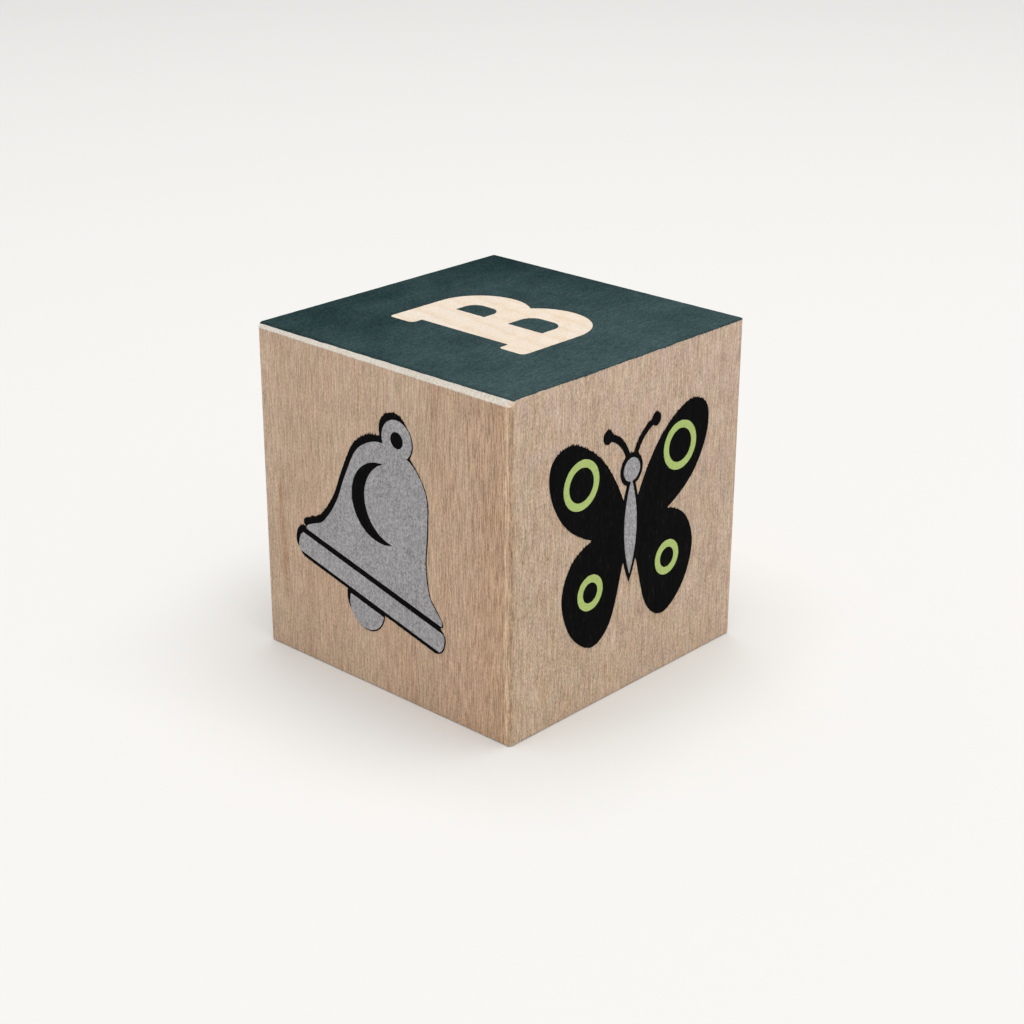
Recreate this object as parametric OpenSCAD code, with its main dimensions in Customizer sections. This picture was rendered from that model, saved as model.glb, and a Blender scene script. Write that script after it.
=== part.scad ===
// Printed wooden alphabet block: a solid cube of pale wood, cut from a square stick,
// with a letter printed on its top and a picture printed on each of its four sides.
// Every ink pass is a thin film of its own. The first pass lies on the wood, and the
// second pass lies on the first.
// Millimetres, +Z up along the grain, origin at the middle of the underside.
// The front face looks along -Y, and the letter on the top reads upright from there.

/* [Block] */
// Width of the square wooden stick
block_w = 44.5; // [38:0.1:52]
// Length that the stick is cut to, which is the height of the block
block_h = 45.3; // [38:0.1:52]
// Chamfer on every edge of the wood
edge_break = 0.3; // [0.1:0.05:0.8]
// Extra chamfer where the top left edge was sanded, at its front end
sanded_front = 0.6; // [0.05:0.05:1]
// Extra chamfer on that edge at its back end
sanded_back = 0.35; // [0.05:0.05:1]

/* [Ink] */
// Thickness of one ink film
ink_t = 0.05; // [0.02:0.01:0.15]
// Bare margin between the green field and the chamfers round the top
field_margin = 0.05; // [0:0.05:1]
// How far a black shadow stands to the left of the grey picture over it
shadow_left = 0.55; // [0.2:0.05:1]
// How far a black shadow stands above the grey picture over it
shadow_up = 0.75; // [0.2:0.05:1]
// How far the black shows as a thin line on the far side of the grey picture
shadow_rim = 0.12; // [0.05:0.01:0.3]

/* [Letter on the top] */
// Height of the letter
letter_h = 23.7; // [18:0.1:28]
// Width of the letter with its slab serifs
letter_w = 17.6; // [15:0.1:24]
// Width of the upright stem
letter_stem = 6.4; // [4:0.1:7]
// Thickness of the top, middle and bottom bars
letter_bar = 4.3; // [3:0.1:5]
// Thickness of the bowls at their widest
letter_bowl = 5.1; // [3.5:0.1:6]
// How far the slab serifs stand out behind the stem
letter_serif = 1.8; // [0.8:0.1:3]
// How far the upper bowl ends short of the lower one
letter_step = 0.9; // [0:0.1:2]
// How much taller the lower bowl is than the upper one
letter_drop = 0.8; // [0:0.1:2]
// Radius of the small corners of the serifs
letter_round = 0.8; // [0.3:0.1:1.2]
// Radius of the corners inside the bowls
counter_round = 1.9; // [0.5:0.1:2.2]

/* [Butterfly on the front] */
// Span from wing tip to wing tip
butterfly_w = 31; // [26:0.5:36]
// Outer radius of the rings on the upper wings
upper_ring_r = 3.3; // [2:0.1:3.8]
// Outer radius of the rings on the lower wings
lower_ring_r = 2.4; // [1.5:0.1:2.8]
// Width of the line that the rings are drawn with
ring_line = 1; // [0.5:0.05:1.4]
// Length of the grey body below the head
body_l = 13; // [9:0.5:14]
// Width of the grey body
body_w = 2.4; // [1.5:0.1:2.8]
// Black rim left round the grey body
body_rim = 0.6; // [0.2:0.1:1]

/* [Bell on the left] */
// Height of the bell from its loop to its clapper
bell_h = 31; // [24:0.5:34]
// Lean of the bell to the right, in degrees
bell_lean = 14; // [0:1:30]
// Width of the black lines above and below the rim
bell_line = 0.9; // [0.5:0.1:1.4]

/* [Ball on the back] */
// Diameter of the ball
ball_d = 30; // [22:0.5:34]
// Width of the green seams on the ball
seam_line = 1.1; // [0.6:0.1:2]
// Black margin where the seams end short of the ball's outline
seam_margin = 0.9; // [0.3:0.1:2]

/* [Boat on the right] */
// Height of the boat from its keel to its flag
boat_h = 30; // [24:0.5:34]
// Width of the gaps beside the mast
boat_gap = 1.1; // [0.8:0.1:2]
// Radius of the portholes
porthole_r = 1.3; // [0.6:0.1:1.6]

/* [Hidden] */
$fn = 180;

wood = [0.84, 0.70, 0.54];
green = [0.13, 0.24, 0.24];
lime = [0.66, 0.80, 0.40];
black = [0.03, 0.03, 0.04];
grey = [0.63, 0.63, 0.64];

// The black films and the coloured films lie in two layers on the wood
first_pass = 0;
second_pass = 1;
// Steps of a curve from one of its points to the next
curve_steps = 8;

// Whole width of the sanded bevel on the top left edge, at its two ends
bevel_front = edge_break + sanded_front;
bevel_back = edge_break + sanded_back;

// The two bowls of the letter share its middle bar
upper_bowl_h = (letter_h + letter_bar - letter_drop) / 2;
lower_bowl_h = (letter_h + letter_bar + letter_drop) / 2;
stem_left = letter_serif - letter_w / 2;
stem_right = stem_left + letter_stem;

// Each picture is drawn about its middle and then scaled to its real size.
// The butterfly's right-hand wings, its head and its right-hand feeler, an arc with a round tip
upper_wing = [
    [0.2, -0.6], [6.2, 0.2], [11.6, 3.4], [14.5, 8.2], [14.3, 12.3], [10.6, 13.5], [5.6, 10.4], [1.9, 5]
];
lower_wing = [
    [0.2, 1.2], [1.6, -5.6], [3.6, -11.6], [7, -13.6], [10.8, -10.7], [12.4, -5.6], [10.5, -1.3], [6, 0.7]
];
upper_ring_at = [9.2, 8.2];
lower_ring_at = [7.3, -6.2];
head_r = 1.5;
head_y = 7.6;
body_tuck = 0.3;
feeler_r = 5.8;
feeler_line = 0.8;
feeler_tip_r = 0.85;
feeler_turn = 76;
butterfly_scale = butterfly_w / (2 * max([for (p = closed_curve(upper_wing)) p.x]));

// The bell: its right side from the rim to the shoulder, then its crown, foot, rim, loop, clapper and glint
bell_side = [[12.2, -7.2], [9.8, -4.2], [8.2, -0.4], [7.4, 4.2], [6.2, 8.6], [3.4, 11.2]];
bell_crown = [0, 11.8];
bell_foot = [0, -8.4];
rim_size = [27, 3.6];
rim_round = 1.5;
rim_y = -9.2;
loop_r = 2.6;
loop_hole_r = 1.1;
loop_y = 13.2;
clapper_r = 3.1;
clapper_y = -11.7;
glint_r = 5.4;
glint_at = [-0.6, 3.6];
glint_shift = [2.2, 0.9];
bell_scale = bell_h / (loop_y + loop_r + clapper_r - clapper_y);

// The ball: seams that are arcs of circles beside it, and a crescent of shine between them
ball_r = 15;
seam_r = 18;
seam_x = 24.6;
shine_r = 5;
shine_at = [0.2, 4.2];
shine_shift = [1.5, -1.6];
ball_scale = ball_d / (2 * ball_r);

// The boat: a hull cut from a circle, a mast with a flag, a main sail and a smaller fore sail
hull_r = 16;
hull_y = 1.6;
deck_y = -7.4;
keel_y = -13.4;
sail_foot_y = -5.8;
main_sail = [12.8, 18];
fore_sail = [9.4, 13.4];
sail_belly = 1.6;
mast_w = 1.4;
flag = [5, 2.8];
flag_gap = 1.4;
porthole_pitch = 6.4;
porthole_y = -10.2;
flag_top_y = sail_foot_y + main_sail.y + flag_gap + flag.y;
boat_middle_y = (flag_top_y + keel_y) / 2;
boat_scale = boat_h / (flag_top_y - keel_y);

// Point of a smooth closed curve through the points p, in the span after point i, at the fraction t
function curve_point(p, i, t) =
    let (n = len(p), a = p[(i + n - 1) % n], b = p[i], c = p[(i + 1) % n], d = p[(i + 2) % n])
    (2 * b + (c - a) * t + (2 * a - 5 * b + 4 * c - d) * t * t + (3 * b - a - 3 * c + d) * t * t * t) / 2;

// The points of that whole curve
function closed_curve(p) =
    [for (i = [0 : len(p) - 1], k = [0 : curve_steps - 1]) curve_point(p, i, k / curve_steps)];

// The points p mirrored in the Y axis and taken the other way round
function left_of(p) = [for (i = [len(p) - 1 : -1 : 0]) [-p[i].x, p[i].y]];

// Puts a drawing on a face of the block: X to the right, Y up and Z outwards, as seen from outside
module on_face(face) {
    half = block_w / 2;
    middle = block_h / 2;
    if (face == "top") translate([0, 0, block_h]) children();
    if (face == "front") translate([0, -half, middle]) rotate([90, 0, 0]) children();
    if (face == "right") translate([half, 0, middle]) rotate([90, 0, 90]) children();
    if (face == "back") translate([0, half, middle]) rotate([90, 0, 180]) children();
    if (face == "left") translate([-half, 0, middle]) rotate([90, 0, -90]) children();
}

// An ink film of the flat shape given, on a face of the block
module film(face, pass) {
    on_face(face) translate([0, 0, pass * ink_t]) linear_extrude(ink_t) children();
}

// Copies a shape to both sides of the Y axis
module pair() {
    children();
    mirror([1, 0]) children();
}

// Rectangle with round corners, about the origin
module round_bar(size, r) {
    square([size.x - 2 * r, size.y], center = true);
    square([size.x, size.y - 2 * r], center = true);
    for (x = [-1, 1], y = [-1, 1])
        translate([x * (size.x / 2 - r), y * (size.y / 2 - r)]) circle(r);
}

// Ring of the outer radius r, drawn with a line of the width given
module ring(r, line) {
    difference() {
        circle(r);
        circle(r - line);
    }
}

// Crescent left of a circle when the same circle is cut out of it, moved by shift
module crescent(r, shift) {
    difference() {
        circle(r);
        translate(shift) circle(r);
    }
}

// Pointed oval of the half width a and the half height b
module pointed_oval(a, b) {
    r = (a * a + b * b) / (2 * a);
    intersection() {
        translate([r - a, 0]) circle(r);
        translate([a - r, 0]) circle(r);
    }
}

// Outline of a black pass under a grey picture: the picture, its shadow and a thin rim on the far side
module shadowed() {
    children();
    translate([-shadow_left, shadow_up]) children();
    translate([shadow_rim, -shadow_rim]) children();
}

// Section of a bar with chamfered corners, about the origin
module bar_section(a, b) {
    x = a / 2;
    y = b / 2;
    c = edge_break;
    polygon([
        [c - x, -y], [x - c, -y], [x, c - y], [x, y - c],
        [x - c, y], [c - x, y], [-x, y - c], [-x, c - y]
    ]);
}

// Everything beyond the sanded bevel on the top left edge, which widens towards the front
module beyond_sanded_edge() {
    bevel_middle = (bevel_front + bevel_back) / 2;
    taper = atan((bevel_front - bevel_back) / (block_w * sqrt(2)));
    reach = block_w;
    translate([(bevel_middle - block_w) / 2, 0, block_h - bevel_middle / 2])
        rotate([0, -135, 0]) rotate([0, 0, -taper])
            translate([0, -reach, -reach]) cube([reach, 2 * reach, 2 * reach]);
}

// The solid wooden cube
module wood_block() {
    color(wood) difference() {
        translate([0, 0, block_h / 2]) intersection() {
            linear_extrude(block_h, center = true) bar_section(block_w, block_w);
            rotate([90, 0, 0]) linear_extrude(block_w, center = true) bar_section(block_w, block_h);
            rotate([90, 0, 90]) linear_extrude(block_w, center = true) bar_section(block_w, block_h);
        }
        beyond_sanded_edge();
    }
}

// A bowl of the letter, filled, from the stem to the x of its right-hand side
module bowl_outline(right, bottom, height) {
    r = height / 2;
    translate([stem_left, bottom]) square([right - r - stem_left, height]);
    translate([right - r, bottom + r]) circle(r);
}

// The opening inside that bowl, with its right-hand corners rounded
module bowl_counter(right, bottom, height) {
    wide = right - letter_bowl - stem_right;
    high = height - 2 * letter_bar;
    r = min(counter_round, wide / 2, high / 2);
    translate([stem_right, bottom + letter_bar]) {
        square([wide - r, high]);
        translate([0, r]) square([wide, high - 2 * r]);
        for (y = [r, high - r]) translate([wide - r, y]) circle(r);
    }
}

// The letter B with slab serifs, about its centre
module letter() {
    right = letter_w / 2;
    lower_bottom = -letter_h / 2;
    upper_bottom = letter_h / 2 - upper_bowl_h;
    difference() {
        union() {
            bowl_outline(right, lower_bottom, lower_bowl_h);
            bowl_outline(right - letter_step, upper_bottom, upper_bowl_h);
            for (y = [-1, 1])
                translate([(stem_right - letter_w / 2) / 2, y * (letter_h - letter_bar) / 2])
                    round_bar([stem_right + letter_w / 2, letter_bar], letter_round);
        }
        bowl_counter(right, lower_bottom, lower_bowl_h);
        bowl_counter(right - letter_step, upper_bottom, upper_bowl_h);
    }
}

// Green field over the top, up to the chamfers, with the letter left bare
module letter_field_green_ink() {
    edge = block_w / 2 - edge_break - field_margin;
    front_left = block_w / 2 - bevel_front - field_margin;
    back_left = block_w / 2 - bevel_back - field_margin;
    color(green) film("top", first_pass) difference() {
        polygon([[-front_left, -edge], [edge, -edge], [edge, edge], [-back_left, edge]]);
        letter();
    }
}

// The butterfly's right-hand feeler
module feeler() {
    reach = 2 * feeler_r;
    translate([feeler_r, head_y]) {
        intersection() {
            ring(feeler_r, feeler_line);
            polygon([[0, 0], [-reach, 0], [-reach, reach * tan(feeler_turn / 2)],
                     reach * [-cos(feeler_turn), sin(feeler_turn)]]);
        }
        rotate(-feeler_turn) translate([feeler_line / 2 - feeler_r, 0]) circle(feeler_tip_r);
    }
}

// The butterfly's head, and the body that hangs from it, wider by the margin given
module head_and_body(margin) {
    r = butterfly_scale * head_r;
    body_top = butterfly_scale * head_y - r + body_tuck;
    translate([0, butterfly_scale * head_y]) circle(r + margin);
    translate([0, body_top - body_l / 2]) pointed_oval(body_w / 2 + margin, body_l / 2 + 2 * margin);
}

// Black pass of the butterfly: wings, feelers and a rim round the body and head
module butterfly_black_ink() {
    color(black) film("front", first_pass) {
        scale(butterfly_scale) pair() {
            polygon(closed_curve(upper_wing));
            polygon(closed_curve(lower_wing));
            feeler();
        }
        head_and_body(body_rim);
    }
}

// Green pass of the butterfly: a ring on each wing
module butterfly_rings_green_ink() {
    color(lime) film("front", second_pass) pair() {
        translate(butterfly_scale * upper_ring_at) ring(upper_ring_r, ring_line);
        translate(butterfly_scale * lower_ring_at) ring(lower_ring_r, ring_line);
    }
}

// Grey pass of the butterfly: its body and head
module butterfly_body_grey_ink() {
    color(grey) film("front", second_pass) head_and_body(0);
}

// Outline of the bell, with nothing left open in it
module bell_outline() {
    polygon(closed_curve(concat([bell_foot], bell_side, [bell_crown], left_of(bell_side))));
    translate([0, rim_y]) round_bar(rim_size, rim_round);
    translate([0, loop_y]) circle(loop_r);
    translate([0, clapper_y]) circle(clapper_r);
}

// What the grey leaves open on the bell: the loop, a glint, and the lines above and below the rim
module bell_openings() {
    translate([0, loop_y]) circle(loop_hole_r);
    translate(glint_at) crescent(glint_r, glint_shift);
    for (y = [-1, 1])
        translate([0, rim_y + y * rim_size.y / 2])
            square([rim_size.x, bell_line / bell_scale], center = true);
}

// Puts the bell's drawing at its real size and lean
module bell_place() {
    rotate(-bell_lean) scale(bell_scale) children();
}

// Black pass of the bell: its outline and shadow
module bell_black_ink() {
    color(black) film("left", first_pass) shadowed() bell_place() bell_outline();
}

// Grey pass of the bell
module bell_grey_ink() {
    color(grey) film("left", second_pass) bell_place() difference() {
        bell_outline();
        bell_openings();
    }
}

// Black pass of the ball
module ball_black_ink() {
    color(black) film("back", first_pass) circle(d = ball_d);
}

// Green pass of the ball: two curved seams
module ball_seams_green_ink() {
    color(lime) film("back", second_pass) intersection() {
        circle(ball_d / 2 - seam_margin);
        pair() translate([ball_scale * seam_x, 0]) ring(ball_scale * seam_r, seam_line);
    }
}

// Grey pass of the ball: a crescent of shine
module ball_shine_grey_ink() {
    color(grey) film("back", second_pass)
        scale(ball_scale) translate(shine_at) crescent(shine_r, shine_shift);
}

// A sail of the size given, straight along the mast and full along its free edge
module sail(size) {
    full = [size.x / 2 + sail_belly, size.y / 2 + sail_belly];
    edge = [for (k = [0 : curve_steps])
        let (t = k / curve_steps)
        (1 - t) * (1 - t) * [size.x, 0] + 2 * t * (1 - t) * full + t * t * [0, size.y]];
    polygon(concat([[0, 0]], edge));
}

// Outline of the boat, with nothing left open in it
module boat_outline() {
    sail_x = mast_w / 2 + boat_gap / boat_scale;
    intersection() {
        translate([0, hull_y]) circle(hull_r);
        translate([-hull_r, keel_y]) square([2 * hull_r, deck_y - keel_y]);
    }
    translate([-mast_w / 2, deck_y]) square([mast_w, flag_top_y - deck_y]);
    translate([0, flag_top_y - flag.y]) polygon([[0, 0], [flag.x, flag.y / 2], [0, flag.y]]);
    translate([sail_x, sail_foot_y]) sail(main_sail);
    translate([-sail_x, sail_foot_y]) mirror([1, 0]) sail(fore_sail);
}

// Puts the boat's drawing at its real size
module boat_place() {
    scale(boat_scale) translate([0, -boat_middle_y]) children();
}

// Black pass of the boat: its outline and shadow
module boat_black_ink() {
    color(black) film("right", first_pass) shadowed() boat_place() boat_outline();
}

// Grey pass of the boat, with its portholes left open
module boat_grey_ink() {
    color(grey) film("right", second_pass) boat_place() difference() {
        boat_outline();
        for (x = [-1 : 1]) translate([x * porthole_pitch, porthole_y]) circle(porthole_r / boat_scale);
    }
}

wood_block();
letter_field_green_ink();
butterfly_black_ink();
butterfly_rings_green_ink();
butterfly_body_grey_ink();
bell_black_ink();
bell_grey_ink();
ball_black_ink();
ball_seams_green_ink();
ball_shine_grey_ink();
boat_black_ink();
boat_grey_ink();
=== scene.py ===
# %% [markdown]
# # A printed wooden alphabet block
# The real toy is a cube cut from a square stick of pale wood, lightly sanded, and then printed on
# one face after another with flat, matte inks. It has only two kinds of matter, wood and ink, so all
# of its character is in small things: eased edges, grain that runs up through the whole block, and
# ink that creeps along the fibres. This lesson dresses an exact CAD model of it in that order.

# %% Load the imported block
import math
from collections import namedtuple

import bpy
from mathutils import Matrix, Vector, geometry, noise


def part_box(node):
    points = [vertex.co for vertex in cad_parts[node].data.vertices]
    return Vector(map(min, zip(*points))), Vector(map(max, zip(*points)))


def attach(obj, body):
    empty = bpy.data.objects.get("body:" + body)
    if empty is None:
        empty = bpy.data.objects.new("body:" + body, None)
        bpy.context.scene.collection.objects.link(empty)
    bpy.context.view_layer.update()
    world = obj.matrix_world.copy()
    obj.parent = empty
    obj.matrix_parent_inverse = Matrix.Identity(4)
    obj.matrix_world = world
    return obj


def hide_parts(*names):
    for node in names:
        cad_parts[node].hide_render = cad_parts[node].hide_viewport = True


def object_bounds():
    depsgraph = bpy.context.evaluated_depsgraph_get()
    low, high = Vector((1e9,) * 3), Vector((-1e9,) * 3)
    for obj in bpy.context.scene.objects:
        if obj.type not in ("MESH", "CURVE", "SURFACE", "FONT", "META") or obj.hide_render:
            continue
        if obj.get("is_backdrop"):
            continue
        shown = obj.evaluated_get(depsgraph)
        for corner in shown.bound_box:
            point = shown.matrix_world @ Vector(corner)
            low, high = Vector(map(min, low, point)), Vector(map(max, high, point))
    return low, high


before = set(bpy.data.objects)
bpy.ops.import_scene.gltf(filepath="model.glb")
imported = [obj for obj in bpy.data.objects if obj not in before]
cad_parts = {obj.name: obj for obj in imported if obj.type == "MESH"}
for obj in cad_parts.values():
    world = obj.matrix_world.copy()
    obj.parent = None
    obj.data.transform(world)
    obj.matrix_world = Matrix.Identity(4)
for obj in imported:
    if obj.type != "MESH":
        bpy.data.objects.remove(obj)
cad_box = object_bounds()
print("CAD nodes:", ", ".join(sorted(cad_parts)))

# %% [markdown]
# ## Measuring the wood
# The sizes that the looks depend on could be typed in again, but a copied number goes stale when the
# CAD model changes. They are read from the CAD mesh instead. The flat of the top ends where the edges
# are broken, and its left end runs askew because that edge was sanded more at the front.

# %% Measure the wood
MM = 0.001
HAIR = 0.01 * MM
_, wood_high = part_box("wood_block")
half = wood_high.x
tall = wood_high.z
top_flat = [v.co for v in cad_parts["wood_block"].data.vertices if v.co.z > tall - HAIR]
edge_break = half - max(p.x for p in top_flat)
front_y = min(p.y for p in top_flat)
back_y = max(p.y for p in top_flat)
front_end = min((p for p in top_flat if p.y < front_y + HAIR), key=lambda p: p.x)
back_end = min((p for p in top_flat if p.y > back_y - HAIR), key=lambda p: p.x)


def bevel_width(y):
    """How far the sanded bevel reaches in from the left edge of the top, at this y."""
    share = (y - front_end.y) / (back_end.y - front_end.y)
    return half + front_end.x + share * (back_end.x - front_end.x)


print(f"block {2 * half / MM:.1f} wide, {tall / MM:.1f} tall, edges broken by {edge_break / MM:.2f} mm")
print(f"sanded bevel {bevel_width(-half) / MM:.2f} to {bevel_width(half) / MM:.2f} mm")

# %% [markdown]
# ## The camera
# The picture was taken from a little above, with two sides in view. A camera can be placed by eye, but
# here its place was worked out from the seven corners that the block shows, so it is written as a few
# plain numbers in block widths: how far away, which way round, how high, and how far off centre.

# %% Place the camera
wide = 2 * half
azimuth = math.radians(-47.33)
elevation = math.radians(22.68)
roll = math.radians(0.196)
stand_off = 6.11 * wide
off_right = 0.0318 * wide
off_up = -0.0791 * wide
lens_in_frame_widths = 2036.3 / 1024
sensor_mm = 36

back = Vector((math.sin(azimuth) * math.cos(elevation), -math.cos(azimuth) * math.cos(elevation), 0))
back.z = math.sin(elevation)
level_right = Vector((math.cos(azimuth), math.sin(azimuth), 0))
level_up = back.cross(level_right)
right = math.cos(roll) * level_right + math.sin(roll) * level_up
up = back.cross(right)
eye = Vector((0, 0, wide / 2)) + off_right * right + off_up * up + stand_off * back

camera_data = bpy.data.cameras.new("camera")
camera_data.sensor_fit = "HORIZONTAL"
camera_data.sensor_width = sensor_mm
camera_data.lens = lens_in_frame_widths * sensor_mm
camera_data.clip_start = 10 * MM
camera = bpy.data.objects.new("camera", camera_data)
axes = Matrix((right, up, back)).transposed()
camera.matrix_world = Matrix.Translation(eye) @ axes.to_4x4()
bpy.context.scene.collection.objects.link(camera)
bpy.context.scene.camera = camera
bpy.context.scene.view_settings.view_transform = "Standard"
print(f"camera {eye.length:.3f} m away with a {camera_data.lens:.1f} mm lens")

# %% [markdown]
# ## Writing shader maths as sums
# A material in Blender is a net of nodes. Wiring each Math node by hand hides what a finish does, so
# two small helpers let the finish be written as a sum. A Wire is one socket, and adding or multiplying
# wires makes the Math nodes. A Net is one tree, and its node method makes any other node.

# %% A wire and a net
class Wire:
    """One output socket, on which arithmetic makes Math nodes."""

    def __init__(self, net, socket):
        self.net = net
        self.socket = socket

    def math_node(self, operation, *values):
        return self.net.node("ShaderNodeMath", {"operation": operation}, dict(enumerate(values)))

    def __add__(self, other):
        return self.math_node("ADD", self, other)

    def __radd__(self, other):
        return self.math_node("ADD", other, self)

    def __sub__(self, other):
        return self.math_node("SUBTRACT", self, other)

    def __rsub__(self, other):
        return self.math_node("SUBTRACT", other, self)

    def __mul__(self, other):
        return self.math_node("MULTIPLY", self, other)

    def __rmul__(self, other):
        return self.math_node("MULTIPLY", other, self)

    def __truediv__(self, other):
        return self.math_node("DIVIDE", self, other)

    def __rtruediv__(self, other):
        return self.math_node("DIVIDE", other, self)

    def __pow__(self, other):
        return self.math_node("POWER", self, other)

    def __abs__(self):
        return self.math_node("ABSOLUTE", self)

    def fraction(self):
        """What is left after the whole number."""
        return self.math_node("FRACT", self)

    def least(self, other):
        """The smaller of two values."""
        return self.math_node("MINIMUM", self, other)


class Net:
    """A tree of nodes, with one method that makes any node in it."""

    def __init__(self, tree):
        self.tree = tree

    def node(self, kind, settings=None, sockets=None, output=0):
        made = self.tree.nodes.new(kind)
        for key, value in (settings or {}).items():
            if key == "stops":
                self.set_stops(made.color_ramp, value)
            else:
                setattr(made, key, value)
        for key, value in (sockets or {}).items():
            self.feed(made.inputs[key], value)
        return Wire(self, made.outputs[output]) if made.outputs else None

    def set_stops(self, ramp, stops):
        for _ in stops[2:]:
            ramp.elements.new(0.5)
        for element, (place, shade) in zip(ramp.elements, stops):
            element.position = place
            element.color = (shade, shade, shade, 1)

    def feed(self, socket, value):
        if isinstance(value, Wire):
            self.tree.links.new(value.socket, socket)
        else:
            socket.default_value = value


print("wires add, subtract, multiply, divide and raise to powers")

# %% [markdown]
# ## Floor, backdrop and light
# A matte toy needs no tricks of light: one large soft panel overhead, a touch to the front so that the
# front is a little lighter than the left side, and an even pale room round it. The floor is pale, so it
# sends light back up the sides. Where the camera looks past the floor it sees a plain pale backdrop.

# %% Lay the floor
FLOOR_PAINT = (0.77, 0.765, 0.755, 1)
FLOOR_ROUGHNESS = 0.9
FLOOR_GLOSS = 0.1
FLOOR_HALF = 2.5
floor_corners = [(-1, -1), (1, -1), (1, 1), (-1, 1)]
floor_points = [(x * FLOOR_HALF, y * FLOOR_HALF, 0) for x, y in floor_corners]
floor_mesh = bpy.data.meshes.new("floor")
floor_mesh.from_pydata(floor_points, [], [(0, 1, 2, 3)])
floor = bpy.data.objects.new("floor", floor_mesh)
bpy.context.scene.collection.objects.link(floor)
floor_paint = bpy.data.materials.new("floor_paint")
floor_paint.use_nodes = True
floor_shader = floor_paint.node_tree.nodes["Principled BSDF"]
floor_shader.inputs["Base Color"].default_value = FLOOR_PAINT
floor_shader.inputs["Roughness"].default_value = FLOOR_ROUGHNESS
floor_shader.inputs["Specular IOR Level"].default_value = FLOOR_GLOSS
floor_mesh.materials.append(floor_paint)
floor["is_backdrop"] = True
print(f"floor {2 * FLOOR_HALF:.0f} m square")

# %% Fill the room with light
ROOM_LIGHT = (0.97, 0.985, 1.0, 1)
ROOM_STRENGTH = 0.38
BACKDROP = (0.93, 0.93, 0.92, 1)
BACKDROP_STRENGTH = 1.0
LOOKS = ("Is Camera Ray", "Is Glossy Ray", "Is Transmission Ray")
room = bpy.data.worlds.new("pale_room")
room.use_nodes = True
bpy.context.scene.world = room
room.node_tree.nodes.clear()
room_net = Net(room.node_tree)
by_eye, by_gloss, by_glass = [room_net.node("ShaderNodeLightPath", output=look) for look in LOOKS]
seen = by_eye + by_gloss + by_glass
room_glow = room_net.node("ShaderNodeBackground", {}, {"Color": ROOM_LIGHT, "Strength": ROOM_STRENGTH})
backdrop = room_net.node("ShaderNodeBackground", {}, {"Color": BACKDROP, "Strength": BACKDROP_STRENGTH})
sky = room_net.node("ShaderNodeMixShader", {}, {0: seen, 1: room_glow, 2: backdrop})
room_net.node("ShaderNodeOutputWorld", {}, {"Surface": sky})
print(f"room lit at {ROOM_STRENGTH}, backdrop at {BACKDROP_STRENGTH}")

# %% Hang the panel
PANEL_SIZE = 1.2
PANEL_WATTS = 18.5
PANEL_TINT = (1.0, 0.985, 0.96)
PANEL_PLACE = Vector((0.03, -0.09, 1.3))
panel_data = bpy.data.lights.new("overhead_panel", "AREA")
panel_data.shape = "SQUARE"
panel_data.size = PANEL_SIZE
panel_data.energy = PANEL_WATTS
panel_data.color = PANEL_TINT
panel = bpy.data.objects.new("overhead_panel", panel_data)
panel.location = PANEL_PLACE
panel.rotation_euler = PANEL_PLACE.to_track_quat("Z", "Y").to_euler()
bpy.context.scene.collection.objects.link(panel)
print(f"panel {PANEL_SIZE} m square, {PANEL_WATTS} W")

# %% [markdown]
# ## The figure of the wood
# Wood is a solid texture: rings, fibres, rays and pores run through the whole stick, and each face only
# cuts them open. A picture wrapped round the cube would break at its edges. So the figure is worked
# out from a point's place in the block, in millimetres. The heart of the tree lies off to the right,
# which leaves the left side flat-sawn, with long soft bands, and the front quarter-sawn, with flecks.

# %% Read places and facings
HALF_MM = half / MM
TALL_MM = tall / MM
Place = namedtuple("Place", "mm x y z from_left from_front up")
Facing = namedtuple("Facing", "x z side_x side_y end")


def parts(net, vector):
    """The X, Y and Z of a vector, as three wires."""
    return [net.node("ShaderNodeSeparateXYZ", {}, {0: vector}, output=axis) for axis in range(3)]


def read_place(net):
    """Where a point lies, in mm, how far it is from two faces, and its height as a share."""
    metres = net.node("ShaderNodeTexCoord", output="Object")
    mm = net.node("ShaderNodeVectorMath", {"operation": "SCALE"}, {0: metres, "Scale": 1 / MM})
    x, y, z = parts(net, mm)
    return Place(mm, x, y, z, x + HALF_MM, y + HALF_MM, z / TALL_MM)


def read_facing(net):
    """Which way a surface looks, and how far it is a left or right side, a front or back, or an end."""
    x, y, z = parts(net, net.node("ShaderNodeNewGeometry", output="Normal"))
    return Facing(x, z, abs(x), abs(y), abs(z))


print("places are read in mm from the middle of the underside")

# %% Make clouds, curves and blends
# Size of a lump in mm, noise values that become 0 and 1, levels of detail, shift that sets clouds apart
Lumps = namedtuple("Lumps", "size low high detail drift")
NOISE_ROUGHNESS = 0.55


def ramp(net, value, *stops):
    """A curve of grey values through these stops."""
    return net.node("ShaderNodeValToRGB", {"stops": stops}, {"Fac": value})


def speckle(net, mm, lumps):
    """Cloudy noise from 0 to 1, whose lumps have about their size in mm along X, Y and Z."""
    cells = net.node("ShaderNodeVectorMath", {"operation": "DIVIDE"}, {0: mm, 1: lumps.size})
    drift = (lumps.drift, lumps.drift, lumps.drift)
    moved = net.node("ShaderNodeVectorMath", {"operation": "ADD"}, {0: cells, 1: drift})
    shape = {"Vector": moved, "Scale": 1.0, "Detail": lumps.detail, "Roughness": NOISE_ROUGHNESS}
    return ramp(net, net.node("ShaderNodeTexNoise", {}, shape), (lumps.low, 0.0), (lumps.high, 1.0))


def swing(share):
    """A share from 0 to 1 as a swing of half either way."""
    return share - 0.5


def between(low, high, share):
    """The value that lies this share of the way from low to high."""
    return low + (high - low) * share


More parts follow.
